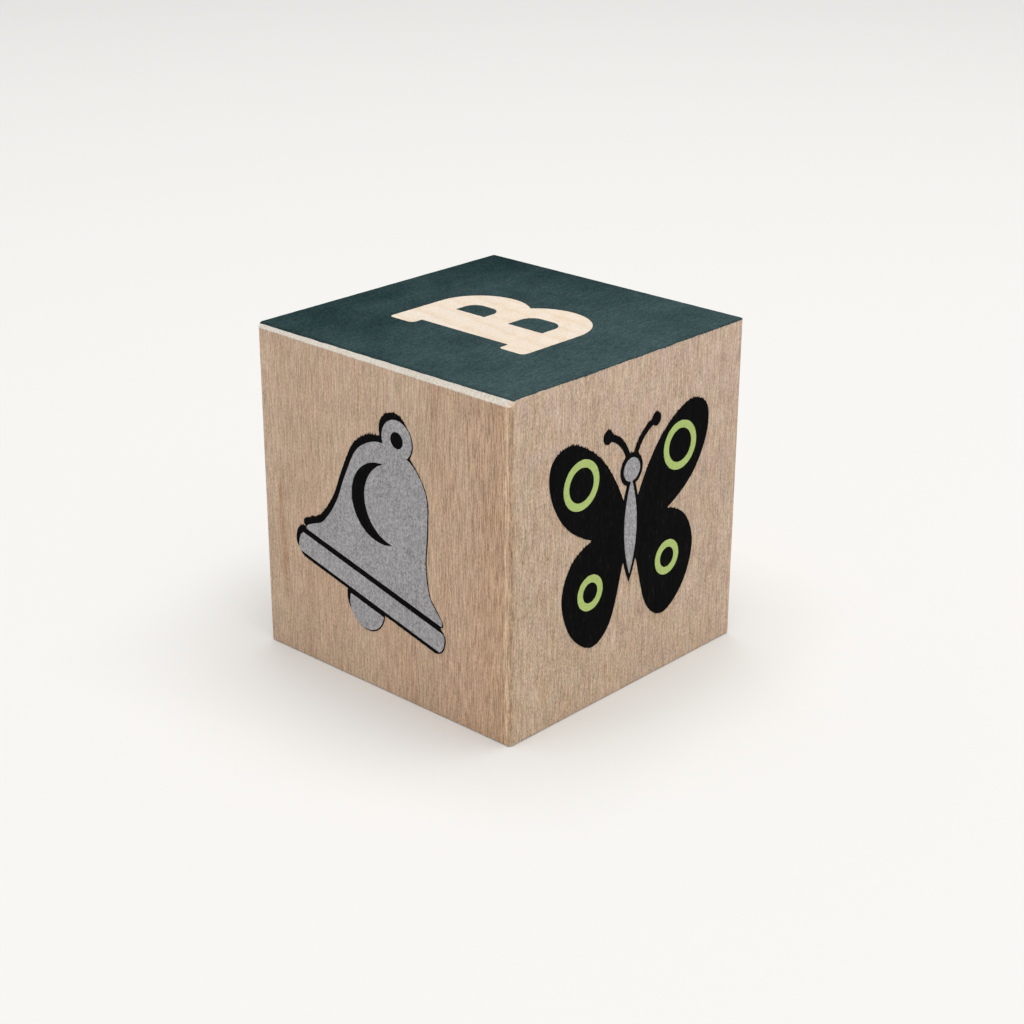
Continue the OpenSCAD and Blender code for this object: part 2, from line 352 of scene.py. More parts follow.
def blend(net, share, under, over):
    """One colour over another."""
    settings = {"data_type": "RGBA", "clamp_factor": True}
    return net.node("ShaderNodeMix", settings, {0: share, 6: under, 7: over}, output=2)


print("clouds have levels of detail that each count", NOISE_ROUGHNESS, "of the last")

# %% [markdown]
# ## Grain
# Broad clouds and bands follow the growth of the tree, thin fibres and hairs run up the grain, short
# rays cross the quarter-sawn faces, and tiny pores show as dark dashes. Each could be drawn line by
# line, but a planed face has thousands of them. So each is a cloudy noise stretched along the grain,
# with its own size. Year rings are the exception: they go by the distance from the heart of the tree.

# %% Grow the grain
PITH = (112.0, -16.0, 0.0)
RING_PITCH = 3.1
WIDE_SWAY_MM = 2.4
SMALL_SWAY_MM = 0.7
WIDE_SWAY = Lumps((13, 13, 46), 0.25, 0.75, 2.0, 0.0)
SMALL_SWAY = Lumps((3.2, 3.2, 22), 0.25, 0.75, 2.0, 0.0)
LUMPS = {
    "cloud": Lumps((10, 10, 22), 0.32, 0.68, 2.0, 4.0),
    "band": Lumps((2.3, 2.3, 42), 0.34, 0.66, 2.0, 9.0),
    "fibre": Lumps((0.40, 0.40, 6.0), 0.34, 0.66, 2.0, 0.0),
    "hair": Lumps((0.15, 0.15, 2.3), 0.36, 0.64, 2.0, 3.0),
    "dust": Lumps((0.14, 0.14, 0.40), 0.36, 0.64, 2.0, 11.0),
    "rays": Lumps((0.45, 0.30, 1.4), 0.36, 0.66, 3.0, 6.0),
    "blotch": Lumps((2.4, 1.6, 3.4), 0.34, 0.66, 3.0, 2.0),
    "pores": Lumps((0.16, 0.16, 1.3), 0.64, 0.76, 1.0, 8.0),
}
Grain = namedtuple("Grain", ["ring", *LUMPS])


def year_rings(net, mm):
    """One on the dense end of each year's growth, nothing in between."""
    flat = net.node("ShaderNodeVectorMath", {"operation": "MULTIPLY"}, {0: mm, 1: (1, 1, 0)})
    from_pith = net.node("ShaderNodeVectorMath", {"operation": "DISTANCE"}, {0: flat, 1: PITH}, "Value")
    wide_sway = WIDE_SWAY_MM * speckle(net, mm, WIDE_SWAY)
    small_sway = SMALL_SWAY_MM * speckle(net, mm, SMALL_SWAY)
    season = ((from_pith + wide_sway + small_sway) / RING_PITCH).fraction()
    return ramp(net, season, (0.0, 0.3), (0.08, 0.0), (0.55, 0.1), (0.92, 1.0), (1.0, 0.3))


def grow_grain(net, mm):
    """Every part of the grain at a point, each from 0 to 1."""
    clouds = {name: speckle(net, mm, lumps) for name, lumps in LUMPS.items()}
    return Grain(ring=year_rings(net, mm), **clouds)


print("year rings", RING_PITCH, "mm apart, heart of the tree at", PITH[:2])

# %% [markdown]
# ## Marks of this stick
# Every stick has a few marks of its own. Here the front left edge is worn pale on its left flank, a
# dense ring comes out along its right flank, and a faint brown strip runs beside it. The left side has
# one brown and one pale streak, and small amber spots lie on the front. A noise alone would put the marks
# anywhere, so all but the spots are curves of a distance in mm, and noise only breaks them up.

# %% Mark the stick
EDGE_ZONE = 2.0
STRIP_ZONE = 6.0
WEAR = Lumps((0.20, 0.20, 2.6), 0.35, 0.65, 2.0, 19.0)
EDGE_RING = Lumps((0.22, 0.22, 1.8), 0.35, 0.65, 2.0, 13.0)
SPOTS = Lumps((0.75, 0.60, 1.1), 0.54, 0.78, 2.0, 21.0)
STREAK_SWAY = Lumps((9, 9, 5), 0.3, 0.7, 2.0, 17.0)
STREAK_SWAY_MM = 0.3
STREAK_FADE = 0.13
# Place of the foot in mm, lean in mm for each mm up, half width in mm, ends as shares of the height
Streak = namedtuple("Streak", "foot lean reach low high")
BROWN_STREAK = Streak(foot=18.15, lean=0.03, reach=1.0, low=0.13, high=0.62)
PALE_STREAK = Streak(foot=-2.35, lean=0.0, reach=0.9, low=0.72, high=1.1)
BROWN_STREAK_SHARE = 0.6
SPOT_SHARE = 0.4


def worn_flank(net, place):
    """How pale the left flank of the front left edge is worn."""
    rise = (0.10, 0.0), (0.19, 0.35), (0.27, 0.95)
    fall = (0.46, 1.0), (0.55, 0.0)
    flank = ramp(net, place.from_front / EDGE_ZONE, *rise, *fall)
    flank = flank * ramp(net, place.from_left / EDGE_ZONE, (0.10, 1.0), (0.25, 0.0))
    return flank * between(0.4, 1.0, speckle(net, place.mm, WEAR))


def only_left(net, place):
    """One on the left side, nothing a millimetre in from it."""
    return ramp(net, place.from_left, (0.0, 1.0), (1.0, 0.0))


def left_streak(net, place, streak):
    """A thin streak up the left side. Its ends are shares of the height."""
    sway = STREAK_SWAY_MM * speckle(net, place.mm, STREAK_SWAY)
    aside = abs(place.y - streak.foot - streak.lean * place.z - sway) / streak.reach
    share = ramp(net, aside, (0.0, 1.0), (0.4, 0.6), (1.0, 0.0))
    rise = (streak.low, 0.0), (streak.low + STREAK_FADE, 1.0)
    fall = (streak.high - STREAK_FADE, 1.0), (min(streak.high, 1.0), 0.0)
    return share * ramp(net, place.up, *rise, *fall) * only_left(net, place)


def amber_marks(net, place, facing):
    """How brown the wood is: a ring along the front left edge, a strip beside it, a streak and spots."""
    edge = ramp(net, place.from_left / EDGE_ZONE, (0.0, 0.8), (0.14, 0.5), (0.30, 0.16), (0.50, 0.0))
    crest = ramp(net, place.from_front / EDGE_ZONE, (0.02, 1.0), (0.07, 0.62), (0.14, 0.2), (0.18, 0.0))
    edge = edge * crest * between(0.35, 1.0, speckle(net, place.mm, EDGE_RING))
    rise = (0.05, 0.0), (0.18, 0.22)
    fall = (0.60, 0.18), (0.75, 0.08), (1.0, 0.0)
    strip = ramp(net, place.from_front / STRIP_ZONE, *rise, *fall) * only_left(net, place)
    streak = left_streak(net, place, BROWN_STREAK)
    spots = speckle(net, place.mm, SPOTS) * facing.side_y
    spots = spots * ramp(net, place.from_left / (2 * HALF_MM), (0.0, 1.0), (0.3, 0.7), (1.0, 0.2))
    return edge + strip + BROWN_STREAK_SHARE * streak + SPOT_SHARE * spots


print("streaks stand", BROWN_STREAK.foot, "and", PALE_STREAK.foot, "mm from the middle of the left side")

# %% [markdown]
# ## Colour of the wood
# Fresh wood of this kind is never one colour: it goes from tan to rose and to a browner tone on the
# rings, with pale flecks on the quarter-sawn faces. One ramp from light to dark could not give all of
# these, so each colour is set over the last one at a low strength, because a planed face looks calm
# from a step away. The sawn ends are paler, partly from their grain and partly as a painted sheen, and
# the fresh wood of the bevel is greyer.

# %% Colour the wood
TAN_WOOD = (0.675, 0.490, 0.343, 1)
ROSE_WOOD = (0.625, 0.396, 0.276, 1)
RING_WOOD = (0.500, 0.302, 0.188, 1)
FLECK_WOOD = (0.720, 0.554, 0.432, 1)
AMBER_WOOD = (0.455, 0.235, 0.110, 1)
WORN_WOOD = (0.830, 0.610, 0.400, 1)
PORE_WOOD = (0.260, 0.145, 0.085, 1)
END_WOOD_AND_SHEEN = (0.725, 0.640, 0.545, 1)
END_TAN = (0.640, 0.490, 0.340, 1)
FRESH_WOOD = (0.660, 0.615, 0.540, 1)
BLUSH = 0.26
CLOUD_BLUSH = 0.45
BAND_BLUSH = 0.55
BLUSH_LOST_BACKWARDS = 0.012
BLUSH_LOST_UPWARDS = 0.002
PALE_STREAK_SHARE = 0.5
CLOUDY_END_TAN = 0.55
END_AND_SHEEN_COVER = 0.92
FRESH_COVER = 0.9


def side_colour(net, place, facing, grain):
    """Colour of the upright faces: a blush, rings and flecks, and then the marks of this stick."""
    blush = BLUSH + CLOUD_BLUSH * swing(grain.cloud) + BAND_BLUSH * swing(grain.band)
    blush = blush - BLUSH_LOST_BACKWARDS * place.y - BLUSH_LOST_UPWARDS * (place.z - TALL_MM / 2)
    colour = blend(net, blush * between(0.25, 1.0, facing.side_x), TAN_WOOD, ROSE_WOOD)
    colour = blend(net, grain.ring * between(0.12, 0.28, facing.side_x), colour, RING_WOOD)
    colour = blend(net, between(0.26, 0.56, grain.blotch) * facing.side_y, colour, FLECK_WOOD)
    colour = blend(net, PALE_STREAK_SHARE * left_streak(net, place, PALE_STREAK), colour, FLECK_WOOD)
    colour = blend(net, worn_flank(net, place), colour, WORN_WOOD)
    return blend(net, amber_marks(net, place, facing), colour, AMBER_WOOD)


def end_colour_and_sheen(net, grain):
    """Colour of the sawn ends, which are tan in clouds and along the rings, and paler partly from their
    grain and partly from a painted sheen.
    """
    tan = CLOUDY_END_TAN * grain.cloud * grain.blotch + between(0.25, 0.55, grain.rays) * grain.ring
    return blend(net, tan, END_WOOD_AND_SHEEN, END_TAN)


def fresh_cut(net, place, facing):
    """One where the bevel shows fresh wood, which is everywhere but at its front tip."""
    slope = ramp(net, facing.z.least(0 - facing.x), (0.3, 0.0), (0.5, 1.0))
    return slope * ramp(net, place.from_front / EDGE_ZONE, (0.28, 0.1), (0.46, 1.0))


def wood_colour(net, place, facing, grain):
    """Colour of the wood before it is made lighter and darker along the grain."""
    colour = side_colour(net, place, facing, grain)
    # The ends are paler partly from their grain and partly as a painted sheen of the light overhead
    colour = blend(net, END_AND_SHEEN_COVER * facing.end, colour, end_colour_and_sheen(net, grain))
    colour = blend(net, FRESH_COVER * fresh_cut(net, place, facing), colour, FRESH_WOOD)
    return blend(net, between(0.14, 0.36, facing.side_x) * grain.pores, colour, PORE_WOOD)


print("wood goes from", TAN_WOOD[:3], "to", ROSE_WOOD[:3])

# %% [markdown]
# ## Light and dark, pink and yellow
# Over its colour the wood flickers from light to dark, fibre by fibre, and drifts a little towards pink
# or yellow in patches. Mixing in black and white would grey it. So the colour is multiplied, channel by
# channel: a dark fibre loses more blue than red and turns browner, and small shares taken from green
# and blue make a patch pinker or yellower. The same factor carries painted light and shade: the front
# and back are painted lighter near the top and darker overall, and the left and right sides get painted
# shade low at the back.

# %% Shade the wood
RED_POWER = 0.92
GREEN_POWER = 1.02
BLUE_POWER = 1.1
PINK_FROM_BLUE = 0.9
FRONT_ZONE = 30.0
FIBRE_SHARE = 0.13
DUST_SHARE = 0.36
DUST_MORE_ON_FRONT = 0.08
DUST_LESS_ON_ENDS = 0.18
STREAKS_LESS_ON_ENDS = 0.7
RAY_SHARE = 0.12
BLOTCH_SHARE = 0.04
CLOUD_SHARE = 0.06
# Painted light and shade on the front and back: lighter near the top, and darker overall
PAINTED_LIGHT_FROM_ABOVE = 0.09
PAINTED_SHADE_ON_FRONT = 0.10
# Painted shade low at the back of the left and right sides
PAINTED_SHADE_LOW_AT_BACK = 0.1
ROSY_SHARE = 0.085
WARM_SHARE = 0.11
PINK = Lumps((2.2, 2.2, 3.2), 0.48, 0.72, 4.0, 15.0)
PINK_LEVEL = 0.2
YELLOW = Lumps((2.2, 2.2, 3.2), 0.34, 0.66, 4.0, 25.0)
TINT = 0.55
MORE_TINT_ON_FRONT = 0.45
LESS_TINT_ON_ENDS = 0.3
# Loss of yellow for each mm along the side, for each mm up, and at the middle of its foot
Slope = namedtuple("Slope", "along up start")
FRONT_COOLS = Slope(along=0.0007, up=0.0011, start=-0.025)
LEFT_COOLS = Slope(along=0.0010, up=0.0006, start=-0.014)


def wood_tone(net, place, facing, grain):
    """How much lighter or darker than its colour the wood is, painted light and shade included."""
    near_front = ramp(net, place.from_front / FRONT_ZONE, (0.0, 1.0), (0.5, 0.3), (1.0, 0.0))
    hair_share = between(0.36, 0.62, near_front * facing.side_x)
    streaks = FIBRE_SHARE * swing(grain.fibre) + hair_share * swing(grain.hair)
    dust_share = DUST_SHARE + DUST_MORE_ON_FRONT * facing.side_y - DUST_LESS_ON_ENDS * facing.end
    fine = (1 - STREAKS_LESS_ON_ENDS * facing.end) * streaks + dust_share * swing(grain.dust)
    # Painted light on the front and back: lighter near the top, a little lighter again at the foot, and
    # darker overall
    painted_light_by_height = ramp(net, place.up, (0.0, 0.45), (0.2, 0.12), (0.5, 0.12), (1.0, 1.0))
    fall = PAINTED_LIGHT_FROM_ABOVE * painted_light_by_height - PAINTED_SHADE_ON_FRONT
    mottle = (RAY_SHARE * swing(grain.rays) + BLOTCH_SHARE * swing(grain.blotch) + fall) * facing.side_y
    # Painted shade: the left and right sides are darker low at the back
    far = ramp(net, place.y / HALF_MM, (0.4, 0.0), (0.8, 1.0))
    low = ramp(net, place.up, (0.1, 1.0), (0.3, 1.0), (0.6, 0.0))
    painted_shade = PAINTED_SHADE_LOW_AT_BACK * facing.side_x * far * low
    return 1 + fine + mottle - painted_shade + CLOUD_SHARE * swing(grain.cloud)


def wood_tint(net, place, facing):
    """Small shares by which the wood is pinker and yellower, in patches and across each side."""
    strength = TINT + MORE_TINT_ON_FRONT * facing.side_y - LESS_TINT_ON_ENDS * facing.end
    rosy = ROSY_SHARE * strength * (speckle(net, place.mm, PINK) - PINK_LEVEL)
    warm = WARM_SHARE * strength * swing(speckle(net, place.mm, YELLOW))
    front_cooler = FRONT_COOLS.along * place.x + FRONT_COOLS.up * place.z + FRONT_COOLS.start
    left_cooler = LEFT_COOLS.along * place.y + LEFT_COOLS.up * place.z + LEFT_COOLS.start
    return rosy, warm - front_cooler * facing.side_y - left_cooler * facing.side_x


def shade(net, colour, tone, rosy, warm):
    """A wood colour made lighter or darker by a factor, and by small shares pinker and yellower."""
    red = tone ** RED_POWER
    green = tone ** GREEN_POWER * (1 - rosy)
    blue = tone ** BLUE_POWER * (1 - warm - PINK_FROM_BLUE * rosy)
    factor = net.node("ShaderNodeCombineXYZ", {}, {0: red, 1: green, 2: blue})
    return net.node("ShaderNodeVectorMath", {"operation": "MULTIPLY"}, {0: colour, 1: factor})


print("fibres swing the tone by", FIBRE_SHARE, "and dust by", DUST_SHARE)

# %% [markdown]
# ## Bare wood
# The block is sanded but not varnished, so it is dull, with only a faint sheen where the fibres lie
# flat. The same figure that colours it also raises it by a few hundredths of a millimetre through a
# Bump node, so that light catches the grain just where the eye sees it.

# %% Finish the bare wood
FIBRE_HEIGHT = 0.45
HAIR_HEIGHT = 0.35
RAY_HEIGHT = 0.3
PORE_DEPTH = 0.8
WOOD_ROUGHNESS = 0.66
ROUGHER_IN_PORES = 0.14
SMOOTHER_ON_FIBRES = 0.10
WOOD_GLOSS = 0.28
WOOD_BUMP = 0.6
WOOD_DEPTH = 0.05 * MM
Figure = namedtuple("Figure", "place colour height pores fibre")


def wood_figure(net):
    """Everything that a finish needs to know of the wood at a point."""
    place = read_place(net)
    facing = read_facing(net)
    grain = grow_grain(net, place.mm)
    colour = wood_colour(net, place, facing, grain)
    colour = shade(net, colour, wood_tone(net, place, facing, grain), *wood_tint(net, place, facing))
    height = FIBRE_HEIGHT * grain.fibre + HAIR_HEIGHT * grain.hair
    height = height + RAY_HEIGHT * grain.rays * facing.side_y - PORE_DEPTH * grain.pores
    return Figure(place, colour, height, grain.pores, grain.fibre)


def new_finish(name):
    """A new material, its net, and the inputs of its shader."""
    material = bpy.data.materials.new(name)
    material.use_nodes = True
    return material, Net(material.node_tree), material.node_tree.nodes["Principled BSDF"].inputs


def bump(net, height, strength, depth):
    """A normal tilted by this height, whose full depth is given in metres."""
    return net.node("ShaderNodeBump", {}, {"Height": height, "Strength": strength, "Distance": depth})


def bare_wood_finish():
    """The sanded wood itself."""
    material, net, shader = new_finish("bare_wood")
    figure = wood_figure(net)
    roughness = WOOD_ROUGHNESS + ROUGHER_IN_PORES * figure.pores - SMOOTHER_ON_FIBRES * figure.fibre
    net.feed(shader["Base Color"], figure.colour)
    net.feed(shader["Roughness"], roughness)
    net.feed(shader["Specular IOR Level"], WOOD_GLOSS)
    net.feed(shader["Normal"], bump(net, figure.height, WOOD_BUMP, WOOD_DEPTH))
    return material


bare_wood = bare_wood_finish()
print("bare wood:", len(bare_wood.node_tree.nodes), "nodes")

# %% [markdown]
# ## Inks
# The inks are flat, matte and a little thin. A thin film still shows the fibres under it as faint
# streaks, it misses the bottoms of the pores, it dries cloudy over a large area, and on the top it is
# uneven along the rays. So each ink takes the figure of the wood: a trace of its height for the bump,
# its pores for the missed spots, and clouds of its own for uneven cover. Only the colour and the
# strength of each effect differ from ink to ink.

# %% Mix the inks
# drift is painted shade: how fast an ink turns from its thin to its thick colour across the top; only the
# green uses it, so it is lighter at the front and darker at the back
Ink = namedtuple("Ink", "thin thick clouds streaks grit nap drift missed rough gloss")
INKS = {
    "black_ink": Ink(
        thin=(0.0046, 0.0047, 0.0054, 1), thick=(0.0018, 0.0019, 0.0023, 1), clouds=0.3, streaks=0.3,
        grit=0.4, nap=0.2, drift=0.0, missed=0.03, rough=0.86, gloss=0.04,
    ),
    "grey_ink": Ink(
        thin=(0.600, 0.588, 0.610, 1), thick=(0.225, 0.221, 0.231, 1), clouds=0.1, streaks=0.15,
        grit=0.75, nap=0.1, drift=0.0, missed=0.20, rough=0.76, gloss=0.12,
    ),
    "light_green_ink": Ink(
        thin=(0.570, 0.720, 0.250, 1), thick=(0.450, 0.590, 0.180, 1), clouds=0.25, streaks=0.3,
        grit=0.45, nap=0.1, drift=0.0, missed=0.15, rough=0.76, gloss=0.12,
    ),
    "dark_green_ink": Ink(
        thin=(0.047, 0.080, 0.083, 1), thick=(0.005, 0.019, 0.021, 1), clouds=0.32, streaks=0.1,
        grit=0.53, nap=0.6, drift=0.013, missed=0.08, rough=0.85, gloss=0.03,
    ),
}
GRIT = Lumps((0.22, 0.22, 0.30), 0.34, 0.66, 3.0, 5.0)
INK_CLOUDS = Lumps((9, 7, 11), 0.33, 0.67, 3.0, 7.0)
FINE_NAP = Lumps((0.55, 0.20, 0.40), 0.37, 0.63, 2.0, 27.0)
COARSE_NAP = Lumps((2.0, 0.55, 1.2), 0.37, 0.63, 2.0, 29.0)
COARSE_NAP_SHARE = 0.28
PAINTED_SHADE_AT_RIGHT = 14
INK_ROUGHER_ON_GRIT = 0.10
INK_SMOOTHER_ON_FIBRES = 0.06
WOOD_THROUGH_INK = 0.6
GRIT_HEIGHT = 0.5
INK_BUMP = 0.5
INK_DEPTH = 0.03 * MM
print(len(INKS), "inks, each with a thin and a thick colour")

# %% Make the inks
def ink_finish(name):
    """One ink over the wood: its cover, its unevenness, and the pores that it misses."""
    ink = INKS[name]
    material, net, shader = new_finish(name)
    figure = wood_figure(net)
    place = figure.place
    grit = speckle(net, place.mm, GRIT)
    clouds = speckle(net, place.mm, INK_CLOUDS)
    # Painted shade on the top green: times ink.drift, this slope makes the green lighter towards the front
    # and darker towards the back and the right edge, a painted sheen and fall of light across the top
    painted_shade_slope = place.y + PAINTED_SHADE_AT_RIGHT * ramp(net, place.x / HALF_MM, (0.5, 0.0), (1.0, 1.0))
    cover = ink.clouds * clouds + ink.streaks * (1 - figure.fibre) + ink.grit * (1 - grit) + ink.drift * painted_shade_slope
    colour = blend(net, cover, ink.thin, ink.thick)
    nap = between(speckle(net, place.mm, FINE_NAP), speckle(net, place.mm, COARSE_NAP), COARSE_NAP_SHARE)
    uneven = 1 + ink.nap * swing(nap)
    colour = net.node("ShaderNodeVectorMath", {"operation": "SCALE"}, {0: colour, "Scale": uneven})
    colour = blend(net, ink.missed * figure.pores, colour, figure.colour)
    roughness = ink.rough + INK_ROUGHER_ON_GRIT * grit - INK_SMOOTHER_ON_FIBRES * figure.fibre
    height = WOOD_THROUGH_INK * figure.height + GRIT_HEIGHT * grit
    net.feed(shader["Base Color"], colour)
    net.feed(shader["Roughness"], roughness)
    net.feed(shader["Specular IOR Level"], ink.gloss)
    net.feed(shader["Normal"], bump(net, height, INK_BUMP, INK_DEPTH))
    return material


inks = {name: ink_finish(name) for name in INKS}
print("inks:", ", ".join(inks))

# %% [markdown]
# ## The skin of the block
# The wood could be a cube with a Bevel modifier, but real eased edges are uneven: sanded a little more
# here and there, with one edge of the top taken down to a clear bevel. So the skin is a formula. A
# column says where on the square outline a point lies, and reach says how far it is over the top from
# the eased edge, or, below zero, how far round the edge and down the side. The ink uses it too, later.

# %% Describe the outline of the stick
SIDE_COLUMNS = 170
CORNER_STEPS = 6
Column = namedtuple("Column", "spread normal")


def stick_columns():
    """Points round the square stick, anticlockwise from above, starting on the front."""
    columns = []
    for side in range(4):
        angle = math.radians(90 * side - 90)
        normal = Vector((math.cos(angle), math.sin(angle)))
        along = Vector((-normal.y, normal.x))
        for step in range(SIDE_COLUMNS):
            columns.append(Column(normal + along * (2 * (step + 0.5) / SIDE_COLUMNS - 1), normal))
        for step in range(CORNER_STEPS + 1):
            turn = angle + math.pi / 2 * step / CORNER_STEPS
            columns.append(Column(normal + along, Vector((math.cos(turn), math.sin(turn)))))
    return columns


columns = stick_columns()
column_count = len(columns)
print(column_count, "columns round the stick")

# %% Describe the skin
EDGE_EASE = 0.22 * MM
WEAR_SPOTS = 9
TOP_LAYER = 3.0
FOOT_LAYER = 11.0
WEAR_SHARE = 0.28
NICKS_PER_SPOT = 2.3
NICK_LAYER = Vector((0, 0, 5))
NICK_LEVEL = 0.42
NICK_SHARE = 1.6
UPRIGHT_ROUND = 0.45 * MM
SHARPEST = 0.02 * MM
BEVEL_SOFTNESS = 0.02 * MM
BEVEL_RAG = 0.035 * MM
RAGS_PER_MM = 0.8
RAG_LAYER = (1.5, 2.5)
RIDGE = 0.012 * MM
RIDGES_ACROSS = 2.2
RIDGES_ALONG = 0.07


def edge_ease(column, upper):
    """Radius of the eased edge at this column: worn a little more in places, with a few nicks."""
    layer = TOP_LAYER if upper else FOOT_LAYER
    spot = Vector((column.spread.x * WEAR_SPOTS, column.spread.y * WEAR_SPOTS, layer))
    worn = noise.noise(spot) + 0.5 * noise.noise(4 * spot)
    nick = max(0.0, noise.noise(NICKS_PER_SPOT * spot + NICK_LAYER) - NICK_LEVEL)
    return EDGE_EASE * (1 + WEAR_SHARE * worn + NICK_SHARE * nick)


def sand_left_edge(point):
    """Takes a point back to the sanded bevel if it stands beyond it."""
    rag = BEVEL_RAG * noise.noise(Vector((point.y / MM * RAGS_PER_MM, *RAG_LAYER)))
    inside = (point.x + half) + (tall - point.z) - bevel_width(point.y) - rag
    cut = (math.sqrt(inside * inside + BEVEL_SOFTNESS ** 2) - inside) / 4
    return point + Vector((cut, 0, -cut))


def skin(column, reach, upper=True):
    """A point of the wood and the way it faces."""
    ease = edge_ease(column, upper)
    arc = ease * math.pi / 2
    lean = min(max(math.pi / 2 + reach / ease, 0), math.pi / 2)
    inset = ease * (1 - math.cos(lean)) + max(reach, 0)
    drop = ease * (1 - math.sin(lean)) + max(-reach - arc, 0)
    corner = max(UPRIGHT_ROUND - inset, SHARPEST)
    flat = column.spread * (half - inset - corner) + column.normal * corner
    height = tall - drop if upper else drop
    spot = Vector((RIDGES_ACROSS * flat.x, RIDGES_ACROSS * flat.y, RIDGES_ALONG * height)) / MM
    ridge = RIDGE * (0.5 + 0.5 * noise.noise(spot))
    flat = flat - column.normal * (ridge * math.cos(lean))
    facing_way = Vector((*(column.normal * math.cos(lean)), math.sin(lean) if upper else -math.sin(lean)))
    point = Vector((*flat, height))
    return (sand_left_edge(point) if upper else point), facing_way


eases = [edge_ease(column, True) / MM for column in columns]
print(f"top edges eased by {min(eases):.2f} to {max(eases):.2f} mm")

# %% [markdown]
# ## The wood block
# With the skin as a formula, the mesh is a stack of rings. Rows lie close together where the edge turns
# and where the bevel ends, so that both read as crisp lines, and far apart on the plain sides. The ends
# are closed with triangles. The new mesh stands for the CAD block, which stays behind it for physics.

# %% Fill an outline
WHOLE_HULL = 0
SAME_POINT = 1e-6


def fill(loops):
    """Flat points and triangles that fill the left of these loops, where they may even cross."""
    points = [p / MM for loop in loops for p in loop]
    rims = []
    for loop in loops:
        first = len(rims)
        rims += [(first + i, first + (i + 1) % len(loop)) for i in range(len(loop))]
    filled = geometry.delaunay_2d_cdt(points, rims, [], WHOLE_HULL, SAME_POINT, True)
    flat, edges, faces, _, sources, _ = filled
    gain = {}
    for (a, b), source in zip(edges, sources):
        along = flat[b] - flat[a]
        runs = [along.dot(points[rims[s][1]] - points[rims[s][0]]) for s in source]
        gain[a, b] = sum(1 if run > 0 else -1 for run in runs)
        gain[b, a] = -gain[a, b]
    owner = {(face[i - 1], face[i]): number for number, face in enumerate(faces) for i in range(3)}
    depth = {number: gain[edge] for edge, number in owner.items() if edge[::-1] not in owner}
    queue = list(depth)
    for number in queue:
        face = faces[number]
        for a, b in zip(face, face[1:] + face[:1]):
            beyond = owner.get((b, a))
            if beyond is not None and beyond not in depth:
                depth[beyond] = depth[number] + gain[b, a]
                queue.append(beyond)
    inside = [tuple(face) for number, face in enumerate(faces) if depth[number] > 0]
    return [p * MM for p in flat], inside


unit_square = [Vector(corner) * MM for corner in ((0, 0), (1, 0), (1, 1), (0, 1))]
print("a square fills with", len(fill([unit_square])[1]), "triangles")

# %% Stack the rows
SIDE_ROWS = 14
TURN_ROWS = 5
LEAST_LINE = 0.12 * MM
LINE_SHARES = (0.0, 0.35, 0.7)
LINE_GAPS = (-0.03 * MM, 0.0, 0.03 * MM, 0.1 * MM, 0.25 * MM)
FAR_ROWS = [1.2 * MM, 1.5 * MM]


def rows_of(column, upper):
    """Reaches of the rows from the flat end to just below the eased edge, close where the bevel ends."""
    ease = edge_ease(column, upper)
    arc = ease * math.pi / 2
    line = max(bevel_width(column.spread.y * half) - ease, LEAST_LINE)
    rows = [share * line for share in LINE_SHARES] + [line + gap for gap in LINE_GAPS] + FAR_ROWS
    turn = [-arc * step / TURN_ROWS for step in range(1, TURN_ROWS)]
    return list(reversed(rows)) + turn + [-arc - reach for reach in rows]


def stack_of(column):
    """Points down one column of the wood, from the flat of the top to the flat of the underside."""
    above = [skin(column, reach)[0] for reach in rows_of(column, True)]
    below = [skin(column, reach, False)[0] for reach in reversed(rows_of(column, False))]
    ease = edge_ease(column, True)
    between_rows = []
    for step in range(1, SIDE_ROWS):
        height = above[-1].z + (below[0].z - above[-1].z) * step / SIDE_ROWS
        between_rows.append(skin(column, -(tall - height) + ease - ease * math.pi / 2)[0])
    return above + between_rows + below


def ring_faces(rows):
    """Four-sided faces between rows of points that each go round the stick."""
    faces = []
    for row in range(rows - 1):
        here = row * column_count
        below = here + column_count
        for i in range(column_count):
            j = (i + 1) % column_count
            faces.append((here + i, below + i, below + j, here + j))
    return faces


stacks = [stack_of(column) for column in columns]
row_count = len(stacks[0])
print(row_count, "rows of points from top to bottom")

# %% Build the wood block
def add_piece(name, points, faces, finish, node):
    """A new object that rides on the block, shows this finish, and stands for this CAD node."""
    mesh = bpy.data.meshes.new(name)
    mesh.from_pydata(points, [], faces)
    mesh.validate()
    mesh.materials.append(finish)
    piece = bpy.data.objects.new(name, mesh)
    bpy.context.scene.collection.objects.link(piece)
    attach(piece, "root")
    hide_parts(node)
    print(f"{name}: {len(mesh.vertices)} points, {len(mesh.polygons)} faces")
    return piece


wood_points = [stack[row] for row in range(row_count) for stack in stacks]
last_row = (row_count - 1) * column_count
_, lid_faces = fill([[p.xy for p in wood_points[:column_count]]])
_, foot_faces = fill([[p.xy for p in wood_points[last_row:]]])
wood_faces = ring_faces(row_count) + lid_faces
wood_faces += [tuple(last_row + i for i in reversed(face)) for face in foot_faces]
wood = add_piece("wood", wood_points, wood_faces, bare_wood, "wood_block")
wood.data.shade_smooth()

# %% [markdown]
# ## Reading the outline of a print
# Each print is already in the CAD model as a thin film with an exact outline. Drawing it again here
# could only drift from that, so its outline is read from the film: the outermost faces are kept, and
# the edges that only one of them uses are chained into loops. Ink then lies on the left of each loop.

# %% Read a film
MERGE = 1e-7
Film = namedtuple("Film", "loops right up out inner outer")
block_middle = Vector((0, 0, tall / 2))


